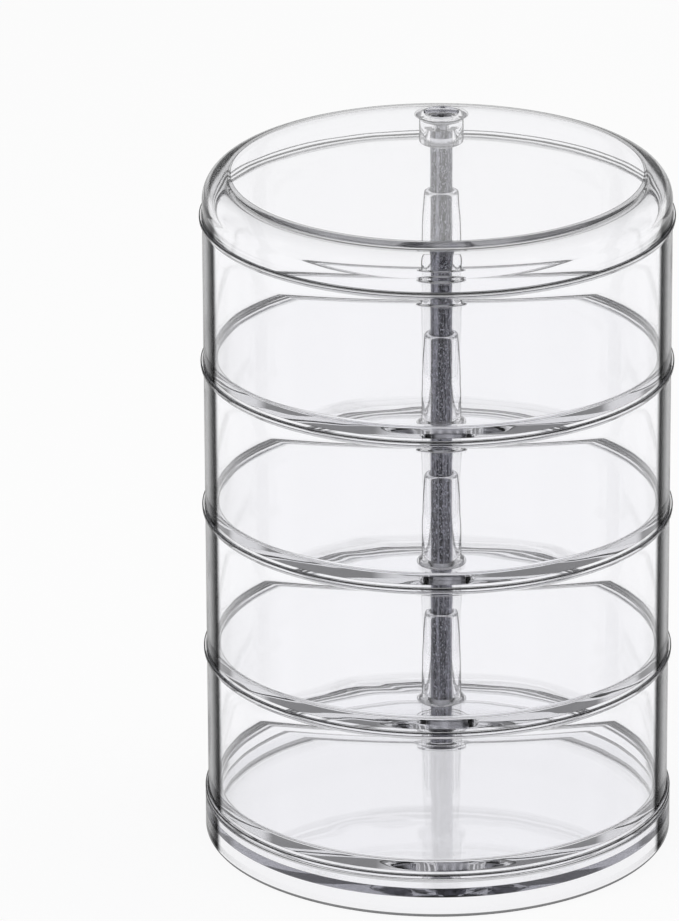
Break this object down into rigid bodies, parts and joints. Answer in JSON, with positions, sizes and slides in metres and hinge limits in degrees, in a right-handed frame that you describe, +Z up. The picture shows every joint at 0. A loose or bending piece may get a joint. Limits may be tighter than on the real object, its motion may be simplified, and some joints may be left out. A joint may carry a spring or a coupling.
{
  "type": "hair accessory organizer",
  "caption": "Clear round stacked organizer: trays and a lid swing sideways about a metal rod on a low round base, for hair ties and clips.",
  "frame": {"origin": "centre of the base's underside, on the surface that it stands on", "axes": "+Z up along the stack, +Y from the centre towards the pivot rod, +X to the right seen from the front"},
  "size_m": [0.1174, 0.1174, 0.1746],
  "materials": {
    "clear_plastic": "clear polished moulded plastic with a faint cool tint",
    "brushed_rod": "drawn steel rod with fine streaks along its length",
    "bright_screw": "bright plated steel",
    "dark_screw": "black plated steel"
  },
  "bodies": {
    "stand": {"base": "clear_plastic", "rod": "brushed_rod", "base_screw": "dark_screw", "lid_screw": "bright_screw", "lid_washer": "bright_screw"},
    "tray_1": {"tray_1": "clear_plastic"},
    "tray_2": {"tray_2": "clear_plastic"},
    "tray_3": {"tray_3": "clear_plastic"},
    "tray_4": {"tray_4": "clear_plastic"},
    "lid": {"lid": "clear_plastic"}
  },
  "joints": [
    {"name": "tray_1_swivel", "type": "hinge", "parent": "stand", "child": "tray_1", "pos_m": [0, 0.04549, 0.01035], "axis": [0, 0, 1], "continuous": true},
    {"name": "tray_2_swivel", "type": "hinge", "parent": "stand", "child": "tray_2", "pos_m": [0, 0.04549, 0.0485], "axis": [0, 0, 1], "continuous": true},
    {"name": "tray_3_swivel", "type": "hinge", "parent": "stand", "child": "tray_3", "pos_m": [0, 0.04549, 0.08665], "axis": [0, 0, 1], "continuous": true},
    {"name": "tray_4_swivel", "type": "hinge", "parent": "stand", "child": "tray_4", "pos_m": [0, 0.04549, 0.1248], "axis": [0, 0, 1], "continuous": true},
    {"name": "lid_swivel", "type": "hinge", "parent": "stand", "child": "lid", "pos_m": [0, 0.04549, 0.16295], "axis": [0, 0, 1], "continuous": true}
  ]
}
